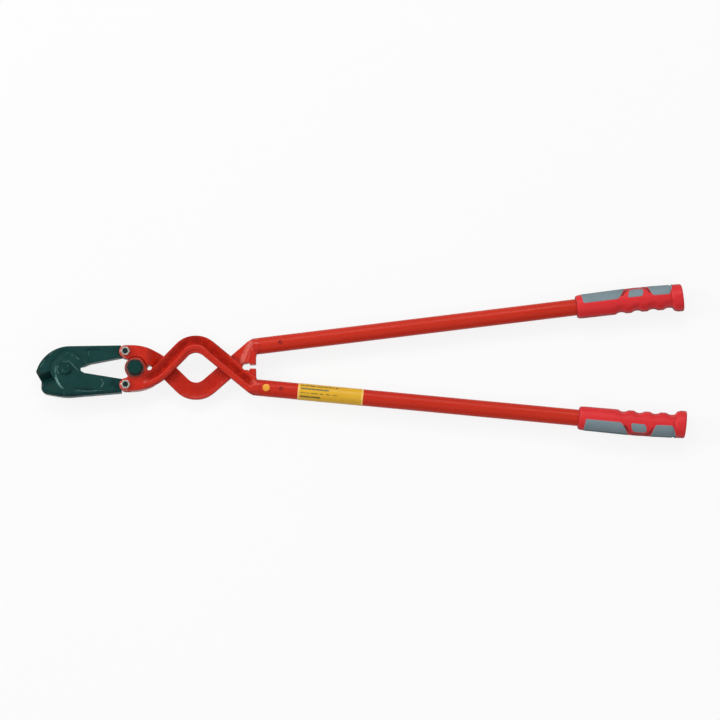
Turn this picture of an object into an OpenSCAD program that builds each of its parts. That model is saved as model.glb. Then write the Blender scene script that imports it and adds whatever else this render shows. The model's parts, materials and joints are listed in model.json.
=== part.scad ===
// Crossed-arm bolt cutters: two jaws, two forged arms, two tube handles with grips.
// The handles point along +X, the upper handle lies at +Y, and the tool lies flat on z = 0.
// The origin is on the axis of the centre bolt, at the face that the tool rests on.

/* [Linkage] */
// Distance from the centre bolt to each link bolt
link_radius = 26.9; // [26:0.1:29]
// Direction of the upper link bolt from the centre bolt, from +X
link_angle = 120; // [116:0.5:124]
// Distance from a link bolt to the jaw bolt
jaw_length = 87.1; // [82:0.5:100]
// Largest angle between the handles, beyond the closed position
handles_open = 76; // [60:1:76]

/* [Clearances] */
// Radial clearance of a bolt that something turns on
run_fit = 0.05; // [0.02:0.01:0.1]
// Gap between the flat faces of two moving pieces
face_gap = 0.3; // [0.2:0.05:0.5]
// Radial clearance of a piece that is pushed on or in and stays
push_fit = 0.05; // [0.02:0.01:0.1]
// Radial freedom of the upper jaw on the jaw bolt
jaw_float = 1.6; // [1.5:0.1:2]

/* [Arms] */
// Thickness of a forged arm where it is solid
arm_thick = 22; // [20:0.5:26]
// Width of the forged band
band_w = 23.8; // [20:0.2:24]
// Radius of the round hub on the centre bolt
hub_r = 14.9; // [13:0.1:15.5]
// Radius of the fork's end around a link bolt
fork_r = 8.9; // [8:0.1:9]
// Corner of the band between the cheek and the first leg
band_turn = [23.7, -17.2];
// Radius of that corner
band_turn_r = 65; // [50:1:70]
// Corner at the top of the hump
hump = [82.2, 42.1];
// Radius of the hump, on the middle of the band
hump_r = 27; // [22:0.5:32]
// Corner where the band bends into the handle
bend = [165.5, -28.5];
// Radius of that bend
bend_r = 14; // [10:1:18]
// Depth of the groove along the band's outer face
groove_d = 3.5; // [1:0.5:5]
// Width of that groove
groove_w = 8; // [6:0.5:9]
// How far the groove lies from the middle of the band
groove_shift = 3; // [1:0.25:4]

/* [Handle stops] */
// Gap between the two stops when the blades meet
stop_gap = 5.9; // [3:0.1:8]
// Where the stop's flat face starts
stop_x = 158.3; // [157:0.1:160]
// Length of the stop's flat face
stop_len = 9.3; // [7:0.1:11]
// Thickness of a stop
stop_thick = 16; // [12:0.5:20]
// Radius of the relief between a stop and the crossing
relief_r = 5; // [4:0.1:5.5]

/* [Flank] */
// Where the arm starts to thicken before the bend, on the tool's middle line
flank_x = 146.4; // [144:0.2:150]
// Direction in which it thickens, from +X
flank_angle = 21; // [10:1:30]
// Length of the slope
flank_run = 6; // [4:0.5:10]

/* [Jaws] */
// Thickness of a jaw
jaw_thick = 20; // [18:0.5:24]
// Thickness of a jaw's tongue in its fork
tongue_thick = 9; // [8:0.25:10]
// Radius of the tongue's end around a link bolt
tongue_r = 8.2; // [7:0.1:8.5]
// Radius of the half-lap lobe around the jaw bolt
lobe_r = 14.5; // [13.5:0.1:15]
// Distance of the lobe's straight shoulders from the jaw bolt
shoulder = 11.1; // [10:0.1:11.5]
// Angle of the cutting line from +X, through the jaw bolt
blade_angle = 207; // [203:0.5:210]
// Distance of the blade's inner end from the jaw bolt
blade_in = 20; // [19:0.25:22]
// Distance of the blade's outer end from the jaw bolt
blade_out = 37.5; // [34:0.5:42]
// Width of the ground bevel on each side of an edge
bevel_w = 8; // [5:0.5:10]
// Gap left between the two cutting edges
blade_gap = 0.3; // [0.2:0.05:0.5]
// Centre of the upper nose's curve, from the jaw bolt
nose_centre = [6.7, -17.2];
// Radius of the upper nose's curve
nose_r = 49; // [46:0.5:52]
// Direction of the nose's tip from the centre of its curve
nose_tip_angle = 164.4; // [158:0.2:168]
// Lower front corner of the lower jaw, from the jaw bolt
chin = [-32.9, -33.2];
// Lowest corner of the lower jaw, from the jaw bolt
belly = [0.4, -39.4];
// Height of a jaw's inner edge over the axis, at the jaw bolt
inner_rise = 1.2; // [1.1:0.1:2]
// Slope of a jaw's inner edge
inner_slope = 10; // [10:0.25:11]
// Reach of the web that closes the crotch behind the jaw bolt
crotch_r = 20.5; // [19:0.25:22]
// Turn of a jaw against its own arm for each degree between the handles
jaw_ratio = 0.611; // [0.6:0.001:0.62]

/* [Fasteners] */
// Diameter of the centre bolt
centre_d = 12; // [10:0.5:14]
// Width across the flats of the centre bolt's head and nut
centre_flats = 19.5; // [18:0.5:20]
// Height of the centre bolt's head
centre_head_h = 7.5; // [6:0.5:9]
// Diameter of the centre bolt's washers
washer_d = 24.4; // [22:0.2:26]
// Thickness of the washers
washer_t = 1.6; // [1:0.1:2.5]
// Diameter of the link bolts
link_d = 7.5; // [6:0.1:8]
// Width across the flats of a link bolt's nut
link_flats = 11.5; // [11:0.25:13]
// Height of a link bolt's nut
link_nut_h = 5; // [4:0.25:7]
// Diameter of a link bolt's round head
link_head_d = 13; // [11:0.5:15]
// Height of a link bolt's round head
link_head_h = 3.5; // [2:0.25:5]
// Diameter of the jaw bolt
jaw_bolt_d = 10; // [8:0.5:10]
// Diameter of the jaw bolt's round head
jaw_head_d = 15.6; // [14:0.2:18]
// Height of the jaw bolt's round head
jaw_head_h = 3.2; // [2:0.2:5]
// Diameter of the jaw bolt's washer
jaw_washer_d = 21; // [20:0.5:24]
// Width across the flats of the jaw bolt's nut
jaw_nut_flats = 16; // [15:0.5:17]
// Height of the jaw bolt's nut
jaw_nut_h = 5; // [4:0.25:6]

/* [Handles] */
// Angle of a handle to the tool's middle line
handle_angle = 6.23; // [5:0.1:8]
// Outer diameter of the handle tube
tube_d = 23; // [21:0.5:25]
// Wall of the handle tube
tube_wall = 2.5; // [1.5:0.25:3]
// Distance from the bend to the tube's front end
tube_start = 7.5; // [7:0.5:10]
// Length of the handle tube
tube_len = 582; // [500:2:582]
// Length of the arm's shank inside the tube
shank_len = 48; // [40:1:80]
// Diameter of the spring pin through tube and shank
pin_d = 5.5; // [4:0.25:7]
// Wall of the spring pin
pin_wall = 1.2; // [0.8:0.1:1.5]
// Distance from the bend to the spring pin
pin_at = 36.5; // [28:0.5:40]
// How far the pin's ends lie under the tube's surface
pin_sunk = 0.6; // [0.4:0.1:1]
// Distance from the bend to the label's front end
label_at = 60; // [55:1:90]
// Length of the label
label_len = 91; // [60:1:120]
// Thickness of the label and of the marker dot
sticker_t = 0.2; // [0.1:0.05:0.3]
// Distance from the bend to the marker dot
dot_at = 16; // [12:0.5:20]
// Diameter of the marker dot
dot_d = 10; // [6:0.5:11]

/* [Grips] */
// Length of the tube that the grip covers
tube_in_grip = 138.5; // [135:0.5:142]
// Length of the grip
grip_len = 149; // [146:1:160]
// Radius of the grip at its front collar
grip_front_r = 15.9; // [15:0.1:17]
// Radius of the grip where it is straight
grip_r = 17.3; // [16:0.1:17.5]
// Radius of the grip's end
grip_end_r = 19.25; // [18.5:0.05:20]
// How far the grip's end leans towards the other handle
grip_end_lean = 4.6; // [3:0.1:6]
// Spacing of the finger grooves
finger_pitch = 22.3; // [20:0.1:23]
// Distance from the grip's front end to the first finger groove
finger_start = 61; // [55:1:65]
// Number of finger grooves
fingers = 4; // [3:1:4]
// Radius of a finger groove
finger_r = 12; // [9:0.5:15]
// Depth of a finger groove
finger_depth = 2.4; // [1:0.1:3]
// Depth of an inlay's pocket in the grip
inlay_t = 1.2; // [0.8:0.1:1.6]
// How far an inlay stands proud of the grip
inlay_proud = 0.3; // [0.1:0.05:0.5]
// Height of the inlays' inner edge over the grip's middle
inlay_low = 3; // [1:0.25:5]

/* [Hidden] */

$fn = 72;
// Steps in a rounded corner, a length beyond every piece, and a hair's breadth
corner_steps = 12;
beyond = 80;
hair = 0.02;

// Heights over and under the tool's middle plane
arm_half = arm_thick / 2;
jaw_half = jaw_thick / 2;
lap = face_gap / 2;
// Height of the middle plane over the face that the tool rests on
mid_height = grip_end_r;

// Bolt axes, from the centre bolt
upper_link = link_radius * dir(link_angle);
lower_link = [upper_link.x, -upper_link.y];
jaw_pin = [upper_link.x - sqrt(pow(jaw_length, 2) - pow(upper_link.y, 2)), 0];

// The arm's band: where it leaves the cheek, how far it runs past the bend, and its stations
cheek = lower_link + [9.4, 3.1];
bend_run = tube_start - 1;
bend_end = bend + bend_run * dir(-handle_angle);
arm_path = stations([cheek, band_turn, hump, bend, bend_end], [0, band_turn_r, hump_r, bend_r, 0]);
groove_from = mix(cheek, band_turn, 0.3);
groove_to = mix(hump, bend, 0.8);
groove_path = stations([groove_from, band_turn, hump, groove_to], [0, band_turn_r * 0.6, hump_r, 0]);

// Clear radius around the other arm's hub, and the cheek's slope back to the flat half
hub_clear_r = hub_r + 0.6;
cheek_flat_to = 17;
cheek_slope_to = 29;
// The notch that lets the two cheeks close up behind the hub
notch_r = 3.4;
notch_at = (hub_r + notch_r - 0.8) * dir(link_angle - 360 + 97);
// The web between the hub and the band
web_r = 10;
web_at = [18, -15.6];
// The round relief between the hub and the first crossing
hub_relief_r = 3.6;
hub_relief_x = hub_r + hub_relief_r + 0.9;
// The slope from the half-thick band down to the stop's back, as [run, rise]
flank_slope = [flank_run, -stop_thick / 2 - lap];
// Where the other arm's band crosses the second time, and its direction
other_leg = heading([bend.x - hump.x, hump.y - bend.y]);
crossing_x = hump.x + hump.y * (bend.x - hump.x) / (hump.y - bend.y);
// Space round the tongue in the fork's slot
slot_r = tongue_r + 1.8;
fork_gap = tongue_thick + 2 * face_gap;

// Jaw details: how far a jaw's thick part stays from the arm's fork, and its end
fork_clear_r = fork_r + 0.7;
jaw_end_x = upper_link.x - 6.1;
lean_angle = 180 + asin(upper_link.y / jaw_length);
// The half-lap's straight shoulders, closed and at the widest opening
shoulder_angle = 39;
recess_angle = 58;
recess = shoulder + jaw_float - 0.1;
throat_r = 2;
// How far the jaws turn apart, and the crotch web's half angle with the room it needs
jaws_open = handles_open * (2 * jaw_ratio - 1);
crotch_angle = inner_slope + 2.5;
crotch_room = jaw_float + face_gap;
crotch_slack = 8;
// The tongue's run into the jaw, and its radius there
tongue_run = 14;
tongue_root_r = 6;

// Length of the centre bolt's nut: its face is level with the grips' ends
centre_nut_h = mid_height - arm_half - face_gap - washer_t;

// Handle and grip
tube_r = tube_d / 2;
bore_r = tube_r - tube_wall;
grip_start = tube_start + tube_len - tube_in_grip;
grip_waist = 0.57 * grip_len;
grip_swell = 0.88 * grip_len;
grip_swell_r = grip_r + 0.05;
grip_swell_lean = 2;
grip_rim = 2.5;
// The three inlays: inner edge from and to along the grip, and how far each end leans outwards
inlay_front = [[9.8, 59.5], [-2, 11]];
inlay_middle = [[72.4, 92], [3, 6]];
inlay_rear = [[107.7, 129], [-8, 8.5]];
inlay_top = grip_r + 2;

steel = "lightsteelblue";
dark_green = "#1f4744";
paint_red = "#c8402a";
grip_red = "#d43234";
inlay_grey = "#82969b";
label_yellow = "#e6be3c";

// Plane geometry

function dir(a) = [cos(a), sin(a)];
function left_of(v) = [-v.y, v.x];
function heading(v) = atan2(v.y, v.x);
function mix(a, b, t) = a + (b - a) * t;
function backwards(list) = [for (i = [len(list) - 1 : -1 : 0]) list[i]];
function turn_between(a, b) = (b - a) - 360 * round((b - a) / 360);

// Stations [point, heading] round the corner at b, on the way from a to c
function corner(a, b, c, r) =
    let (
        from = heading(b - a),
        turn = turn_between(from, heading(c - b)),
        side = sign(turn),
        start = b - r * tan(abs(turn) / 2) * dir(from),
        centre = start + side * r * left_of(dir(from))
    )
    [for (i = [0 : corner_steps])
        let (h = from + turn * i / corner_steps) [centre - side * r * left_of(dir(h)), h]];

// Stations along an open line of points with rounded corners
function stations(points, radii) =
    let (last = len(points) - 1)
    [
        [points[0], heading(points[1] - points[0])],
        for (i = [1 : last - 1]) each corner(points[i - 1], points[i], points[i + 1], radii[i]),
        [points[last], heading(points[last] - points[last - 1])]
    ];

// The line that runs beside a path, to its left by offset
function beside(path, offset) = [for (s = path) s[0] + offset * left_of(dir(s[1]))];

// Outline of a band along a path, between two offsets
function band(path, low, high) = concat(beside(path, high), backwards(beside(path, low)));

// Points of a rounded outline, open at both ends
function rounded(points, radii) = [for (s = stations(points, radii)) s[0]];

// Points along an arc
function arc(centre, r, from, to) =
    [for (i = [0 : 2 * corner_steps]) centre + r * dir(from + (to - from) * i / (2 * corner_steps))];

// A flat link that wraps two discs; its straight sides lie a hair inside the discs' rims
module link(p, p_r, q, q_r) {
    along = heading(q - p);
    lean = acos((p_r - q_r) / norm(q - p));
    near = p_r - hair;
    far = q_r - hair;
    translate(p) circle(r = p_r);
    translate(q) circle(r = q_r);
    polygon([
        p + near * dir(along + lean), q + far * dir(along + lean),
        q + far * dir(along - lean), p + near * dir(along - lean)
    ]);
}

// Everything on the near side of a straight line, at distance d from the origin
module near_side(angle, d) {
    rotate(angle) translate([d - 2 * beyond, -beyond]) square(2 * beyond);
}

// A plate between two heights
module plate(low, high) {
    translate([0, 0, low]) linear_extrude(high - low) children();
}

// A round bar or bore along Z at point p
module round_z(p, r, low, high) {
    translate([p.x, p.y, low]) cylinder(r = r, h = high - low);
}

// A hexagon bar along Z at point p, by its width across the flats; its corners are turned off at
// the high end, and at the low end too where both is true
module hex_z(p, flats, low, high, both) {
    h = high - low;
    rim = flats / 2 - 0.2;
    corner_r = flats / 2 / cos(30);
    translate([p.x, p.y, low]) intersection() {
        cylinder(r = corner_r, h = h, $fn = 6);
        turned_bar(corner_r + 1, rim, h, both);
    }
}

// A round bar that is cut back at 30 degrees to the radius rim at its high end, and at its low end too
module turned_bar(r, rim, h, both) {
    drop = (r - rim) * tan(30);
    low_end = both ? [[rim, 0], [r, drop]] : [[r, 0]];
    rotate_extrude() polygon(concat([[0, 0]], low_end, [[r, h - drop], [rim, h], [0, h]]));
}

// A round head along Z with a turned edge; the edge is at the high end when up is 1, else at the low end
module head_z(p, r, low, high, up) {
    h = high - low;
    edge = min(0.8, h / 3);
    translate([p.x, p.y, up > 0 ? low : high]) mirror([0, 0, up > 0 ? 0 : 1])
        rotate_extrude() polygon([[0, 0], [r, 0], [r, h - edge], [r - edge, h], [0, h]]);
}

// The same piece on the tool's other side: turned over about the X axis
module turned_over() {
    rotate([180, 0, 0]) children();
}

// The tool's middle plane, lifted to its height over the resting face
module lifted() {
    translate([0, 0, mid_height]) children();
}

// Arms

module cheek_outline() {
    difference() {
        link(lower_link, fork_r, cheek, band_w / 2);
        translate(notch_at) circle(r = notch_r);
    }
}

// The outline of the whole band, grown by room on both sides
module band_outline(room) {
    polygon(band(arm_path, -band_w / 2 - room, band_w / 2 + room));
}

module arm_outline() {
    difference() {
        union() {
            cheek_outline();
            circle(r = hub_r);
            link([0, 0], hub_r - 2, web_at, web_r);
            band_outline(0);
        }
        translate([hub_relief_x, 0]) circle(r = hub_relief_r);
        translate([stop_x - relief_r, 0]) circle(r = relief_r);
    }
}

module groove_outline() {
    low = groove_shift - groove_w / 2;
    high = groove_shift + groove_w / 2;
    polygon(band(groove_path, low, high));
    for (s = [groove_path[0], groove_path[len(groove_path) - 1]])
        translate(s[0] + groove_shift * left_of(dir(s[1]))) circle(d = groove_w);
}

// The cheek is solid through both halves, slopes back to one half, and clears the other hub
module cheek_block() {
    difference() {
        intersection() {
            plate(-arm_half, arm_half) difference() {
                union() {
                    cheek_outline();
                    band_outline(0);
                }
                mirror([0, 1]) band_outline(face_gap);
                translate([hub_relief_x, 0]) circle(r = hub_relief_r);
            }
            rotate([90, 0, 0]) linear_extrude(2 * beyond, center = true)
                polygon([
                    [-beyond, arm_half], [-beyond, -arm_half],
                    [cheek_flat_to, -arm_half], [cheek_slope_to, lap], [cheek_slope_to, arm_half]
                ]);
        }
        round_z([0, 0], hub_clear_r, -beyond, lap);
    }
}

// Before the bend the arm slopes out to its full thickness, clear of the other arm
module bend_block() {
    difference() {
        union() {
            intersection() {
                plate(-stop_thick / 2, arm_half) intersection() {
                    band_outline(0);
                    translate([crossing_x, 0]) rotate(other_leg)
                        translate([-beyond, -beyond - band_w / 2 - face_gap]) square([2 * beyond, beyond]);
                }
                translate([flank_x, 0]) rotate(flank_angle)
                    rotate([90, 0, 0]) linear_extrude(2 * beyond, center = true)
                        polygon([
                            [0, lap] - flank_slope / 4, [0, lap] + 2 * flank_slope,
                            [beyond, -beyond], [beyond, beyond], [-flank_run / 4, beyond]
                        ]);
            }
            plate(-stop_thick / 2, stop_thick / 2) polygon([
                [stop_x, -stop_gap / 2], [stop_x + stop_len, -stop_gap / 2],
                [stop_x + stop_len, bend.y + 4], [stop_x, bend.y + 6]
            ]);
        }
        round_z([stop_x - relief_r, 0], relief_r, -beyond, beyond);
    }
}

module handle_frame() {
    translate(bend) rotate(-handle_angle) children();
}

module rod(r, from, to) {
    translate([from, 0, 0]) rotate([0, 90, 0]) cylinder(r = r, h = to - from);
}

module shank() {
    difference() {
        union() {
            rod(tube_r, -2, tube_start);
            rod(bore_r - push_fit, 0, tube_start + shank_len);
        }
        round_z([pin_at, 0], pin_d / 2 + push_fit, -beyond, beyond);
    }
}

module forged_arm() {
    difference() {
        union() {
            difference() {
                plate(lap, arm_half) arm_outline();
                plate(arm_half - groove_d, arm_half + 1) groove_outline();
            }
            cheek_block();
            bend_block();
            handle_frame() shank();
        }
        round_z([0, 0], centre_d / 2 + run_fit, -beyond, beyond);
        round_z(lower_link, link_d / 2 + run_fit, -beyond, beyond);
        round_z(lower_link, slot_r, -fork_gap / 2, fork_gap / 2);
    }
}

module front_arm() {
    color(paint_red) lifted() forged_arm();
}

module rear_arm() {
    color(paint_red) lifted() turned_over() forged_arm();
}

// Jaws

// The jaw's inner edge, from beside the jaw bolt to the fork
inner_to = [jaw_end_x + 4 - jaw_pin.x, inner_rise + (jaw_end_x + 4 - jaw_pin.x) * tan(inner_slope)];

// Upper jaw, from the jaw bolt
module upper_jaw_outline() {
    polygon(concat(
        [[inner_to.x, nose_centre.y + nose_r]],
        arc(nose_centre, nose_r, 90, nose_tip_angle),
        [blade_out * dir(blade_angle), [0, 0], [0, inner_rise], inner_to]
    ));
}

// Lower jaw, from the jaw bolt
module lower_jaw_outline() {
    tail = lower_link - jaw_pin + [-2, -fork_r - 1.6];
    polygon(concat(
        rounded([blade_out * dir(blade_angle), chin, belly, tail], [0, 9, 60, 0]),
        [[inner_to.x, -inner_to.y], [0, -inner_rise], [0, 0]]
    ));
}

// The cut along the blades: a thin gap, a small throat, and a bevel on both faces.
// side is 1 for the jaw above the cutting line and -1 for the one below it.
module blade_cut(side) {
    half = blade_gap / 2;
    reach = blade_out + nose_r / 4;
    rotate(blade_angle) mirror([0, side > 0 ? 1 : 0, 0]) {
        translate([0, -beyond, -beyond]) cube([2 * beyond, beyond + half, 2 * beyond]);
        round_z([blade_in - throat_r, 0], throat_r, -beyond, beyond);
        for (face = [0, 1]) mirror([0, 0, face])
            translate([blade_in, 0, 0]) rotate([90, 0, 90]) linear_extrude(reach)
                polygon([
                    [half, 0], [half + bevel_w, jaw_half], [half + bevel_w, jaw_half + 1],
                    [-1, jaw_half + 1], [-1, 0]
                ]);
    }
}

// The lobe of one jaw that fills its half of the lap, as seen on the front face
module lobe_outline() {
    intersection() {
        circle(r = lobe_r);
        near_side(shoulder_angle, shoulder);
        near_side(recess_angle, shoulder);
    }
}

// The space that the other jaw's front lobe turns in
module recess_outline() {
    intersection() {
        circle(r = lobe_r + jaw_float);
        near_side(recess_angle, recess);
    }
}

// A sector around the jaw bolt
module sector(r, from, to) {
    intersection() {
        circle(r = r);
        polygon([[0, 0], 2 * r * dir(from), 2 * r * dir((from + to) / 2), 2 * r * dir(to)]);
    }
}

// The upper jaw's back half closes the crotch, and the lower jaw's back half leaves it room to turn
module crotch_web() {
    sector(crotch_r, -crotch_angle, crotch_angle);
}

module crotch_pocket() {
    sector(crotch_r + crotch_room, -crotch_angle - jaws_open - crotch_slack, 0);
}

// The thick part of a jaw stops short of the fork and leaves a thin tongue
module tongue(pin) {
    inward = [cos(lean_angle), sign(pin.y) * sin(lean_angle)];
    plate(-tongue_thick / 2, tongue_thick / 2)
        link(pin, tongue_r, pin + tongue_run * inward, tongue_root_r);
}

module fork_relief(pin) {
    round_z(pin, fork_clear_r, -beyond, beyond);
    translate([pin.x + jaw_end_x - upper_link.x, -beyond, -beyond]) cube(2 * beyond);
}

module upper_jaw() {
    pin = upper_link - jaw_pin;
    color(dark_green) lifted() translate(jaw_pin) difference() {
        union() {
            difference() {
                plate(-jaw_half, jaw_half) upper_jaw_outline();
                plate(-lap, jaw_half + 1) recess_outline();
                blade_cut(1);
                fork_relief(pin);
            }
            plate(-jaw_half, -lap) {
                mirror([0, 1]) lobe_outline();
                crotch_web();
            }
            tongue(pin);
        }
        round_z([0, 0], jaw_bolt_d / 2 + jaw_float, -beyond, beyond);
        round_z(pin, link_d / 2 + run_fit, -beyond, beyond);
    }
}

module lower_jaw() {
    pin = lower_link - jaw_pin;
    color(dark_green) lifted() translate(jaw_pin) difference() {
        union() {
            difference() {
                plate(-jaw_half, jaw_half) lower_jaw_outline();
                plate(-jaw_half - 1, lap) {
                    mirror([0, 1]) recess_outline();
                    crotch_pocket();
                }
                blade_cut(-1);
                fork_relief(pin);
            }
            plate(lap, jaw_half) lobe_outline();
            tongue(pin);
        }
        round_z([0, 0], jaw_bolt_d / 2 + run_fit, -beyond, beyond);
        round_z(pin, link_d / 2 + run_fit, -beyond, beyond);
    }
}

// Fasteners

// A bolt along Z with its head on the front face; low is the shank's end
module bolt_shank(p, d, low, high) {
    round_z(p, d / 2, low, high);
}

module washer(p, d, hole_d, low) {
    difference() {
        round_z(p, d / 2, low, low + washer_t);
        round_z(p, hole_d / 2 + push_fit, low - 1, low + washer_t + 1);
    }
}

module hex_nut(p, flats, hole_d, low, high) {
    difference() {
        hex_z(p, flats, low, high, true);
        round_z(p, hole_d / 2 + push_fit, low - 1, high + 1);
    }
}

module jaw_bolt() {
    low = -jaw_half - face_gap - washer_t - jaw_nut_h;
    color(dark_green) lifted() {
        bolt_shank(jaw_pin, jaw_bolt_d, low - 1, jaw_half);
        head_z(jaw_pin, jaw_head_d / 2, jaw_half, jaw_half + jaw_head_h, 1);
    }
}

module jaw_washer() {
    color(steel) lifted() washer(jaw_pin, jaw_washer_d, jaw_bolt_d, -jaw_half - face_gap - washer_t);
}

module jaw_nut() {
    high = -jaw_half - face_gap - washer_t;
    color(steel) lifted() hex_nut(jaw_pin, jaw_nut_flats, jaw_bolt_d, high - jaw_nut_h, high);
}

module link_bolt(p) {
    bolt_shank(p, link_d, -arm_half, arm_half + link_nut_h);
    head_z(p, link_head_d / 2, -arm_half - link_head_h, -arm_half, -1);
}

module upper_link_bolt() {
    color(dark_green) lifted() link_bolt(upper_link);
}

module lower_link_bolt() {
    color(dark_green) lifted() link_bolt(lower_link);
}

module upper_link_nut() {
    color(steel) lifted() hex_nut(upper_link, link_flats, link_d, arm_half, arm_half + link_nut_h);
}

module lower_link_nut() {
    color(steel) lifted() hex_nut(lower_link, link_flats, link_d, arm_half, arm_half + link_nut_h);
}

module centre_bolt() {
    head = arm_half + washer_t;
    color(dark_green) lifted() {
        bolt_shank([0, 0], centre_d, -mid_height, head);
        hex_z([0, 0], centre_flats, head, head + centre_head_h, false);
    }
}

module front_washer() {
    color(steel) lifted() washer([0, 0], washer_d, centre_d, arm_half);
}

module rear_washer() {
    color(steel) lifted() washer([0, 0], washer_d, centre_d, -arm_half - face_gap - washer_t);
}

module centre_nut() {
    color(steel) lifted() hex_nut([0, 0], centre_flats, centre_d, -mid_height, centre_nut_h - mid_height);
}

// Handles

module handle_tube() {
    handle_frame() difference() {
        rod(tube_r, tube_start, tube_start + tube_len);
        rod(bore_r, tube_start - 1, tube_start + tube_len + 1);
        round_z([pin_at, 0], pin_d / 2 + push_fit, -beyond, beyond);
    }
}

module tube_pin() {
    half = tube_r - pin_sunk;
    handle_frame() difference() {
        round_z([pin_at, 0], pin_d / 2, -half, half);
        round_z([pin_at, 0], pin_d / 2 - pin_wall, -beyond, beyond);
        translate([pin_at, -pin_wall / 2, -beyond]) cube([pin_d, pin_wall, 2 * beyond]);
    }
}

module lower_tube() {
    color(paint_red) lifted() handle_tube();
}

module upper_tube() {
    color(paint_red) lifted() turned_over() handle_tube();
}

module lower_tube_pin() {
    color(steel) lifted() tube_pin();
}

module upper_tube_pin() {
    color(steel) lifted() turned_over() tube_pin();
}

// A thin ring on the tube
module sticker_ring(from, to) {
    difference() {
        rod(tube_r + push_fit + sticker_t, from, to);
        rod(tube_r + push_fit, from - 1, to + 1);
    }
}

module tube_label() {
    color(label_yellow) lifted() handle_frame() sticker_ring(label_at, label_at + label_len);
}

module marker_dot() {
    color(label_yellow) lifted() handle_frame() intersection() {
        sticker_ring(dot_at - dot_d, dot_at + dot_d);
        round_z([dot_at, 0], dot_d / 2, 0, beyond);
    }
}

// Grips, in a frame that starts at the grip's front end; +Y is towards the other handle

module grip_frame() {
    handle_frame() translate([grip_start, 0, 0]) children();
}

// A thin disc across the grip, leaning towards the other handle
module grip_disc(at, r, lean) {
    translate([at, lean, 0]) rotate([0, 90, 0]) cylinder(r = r, h = 0.5, center = true, $fn = 48);
}

// The grip's outer body, grown by skin
module grip_body(skin) {
    rotate([0, 90, 0]) rotate_extrude() polygon([
        [0, 0], [grip_front_r - 1.7 + skin, 0], [grip_front_r + skin, 2], [grip_front_r + skin, 6],
        [grip_r - 0.7 + skin, 8], [grip_r + skin, grip_waist], [0, grip_waist]
    ]);
    hull() {
        grip_disc(grip_waist - 0.25, grip_r + skin, 0);
        grip_disc(grip_swell, grip_swell_r + skin, grip_swell_lean);
    }
    hull() {
        grip_disc(grip_swell, grip_swell_r + skin, grip_swell_lean);
        grip_disc(grip_len - grip_rim, grip_end_r + skin, grip_end_lean);
        grip_disc(grip_len - 0.25, grip_end_r - 1.2 + skin, grip_end_lean);
    }
}

// Outline of an inlay as it is seen on the front face; the outer side is at -Y
module inlay_outline(place) {
    inner = place[0];
    outer = place[0] + place[1];
    polygon(rounded(
        [[outer[0], -inlay_top], [inner[0], -inlay_low], [inner[1], -inlay_low], [outer[1], -inlay_top]],
        [0, 3, 4, 0]
    ));
}

module inlay_space(place) {
    linear_extrude(2 * beyond, center = true) inlay_outline(place);
}

module inlay(place) {
    grip_frame() intersection() {
        difference() {
            grip_body(inlay_proud);
            grip_body(-inlay_t);
        }
        inlay_space(place);
    }
}

module grip() {
    grip_frame() difference() {
        grip_body(0);
        difference() {
            for (place = [inlay_front, inlay_middle, inlay_rear]) inlay_space(place);
            grip_body(-inlay_t);
        }
        for (i = [0 : fingers - 1])
            round_z(
                [finger_start + i * finger_pitch, grip_r + finger_r - finger_depth],
                finger_r, -beyond, beyond
            );
        rod(tube_r + push_fit, -1, tube_in_grip);
    }
}

module lower_grip() {
    color(grip_red) lifted() grip();
}

module upper_grip() {
    color(grip_red) lifted() turned_over() grip();
}

module lower_inlay_front() {
    color(inlay_grey) lifted() inlay(inlay_front);
}

module lower_inlay_middle() {
    color(inlay_grey) lifted() inlay(inlay_middle);
}

module lower_inlay_rear() {
    color(inlay_grey) lifted() inlay(inlay_rear);
}

module upper_inlay_front() {
    color(inlay_grey) lifted() turned_over() inlay(inlay_front);
}

module upper_inlay_middle() {
    color(inlay_grey) lifted() turned_over() inlay(inlay_middle);
}

module upper_inlay_rear() {
    color(inlay_grey) lifted() turned_over() inlay(inlay_rear);
}

upper_jaw();
lower_jaw();
jaw_bolt();
jaw_washer();
jaw_nut();
upper_link_bolt();
upper_link_nut();
lower_link_bolt();
lower_link_nut();
front_arm();
rear_arm();
centre_bolt();
front_washer();
rear_washer();
centre_nut();
upper_tube();
lower_tube();
upper_tube_pin();
lower_tube_pin();
upper_grip();
upper_inlay_front();
upper_inlay_middle();
upper_inlay_rear();
lower_grip();
lower_inlay_front();
lower_inlay_middle();
lower_inlay_rear();
tube_label();
marker_dot();
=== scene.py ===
"""Bolt cutters, dressed and lit as a catalogue picture shows them.

Lengths are in millimetres in the tool's own frame, with the centre bolt's axis at x = y = 0 and the
resting face at z = 0, and become metres when a mesh is made.
"""

import json
import math
from contextlib import contextmanager

import bmesh
import bpy
import numpy as np
from mathutils import Matrix, Vector

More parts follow.
